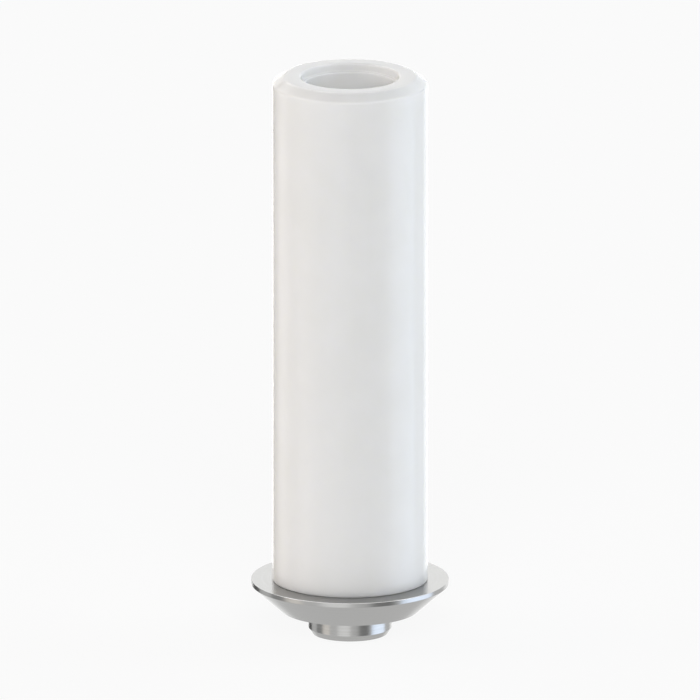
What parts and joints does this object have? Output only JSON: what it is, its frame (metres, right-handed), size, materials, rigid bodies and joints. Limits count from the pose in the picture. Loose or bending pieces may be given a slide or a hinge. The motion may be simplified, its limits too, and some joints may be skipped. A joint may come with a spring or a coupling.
{
  "type": "dental abutment",
  "caption": "Castable implant abutment: a turned metal base with a flange, cone and round boss, and a tall white plastic burn-out sleeve with a screw channel through both.",
  "frame": {"origin": "centre of the boss's end face, which is the lowest point of the part", "axes": "+Z along the screw channel, from the boss up to the sleeve's mouth; the part is turned about Z, so X and Y are free"},
  "size_m": [0.005, 0.005, 0.0145],
  "materials": {
    "cast_on_alloy": "polished",
    "burn_out_plastic": "satin"
  },
  "bodies": {
    "root": {"metal_base": "cast_on_alloy", "plastic_sleeve": "burn_out_plastic"}
  },
  "joints": []
}
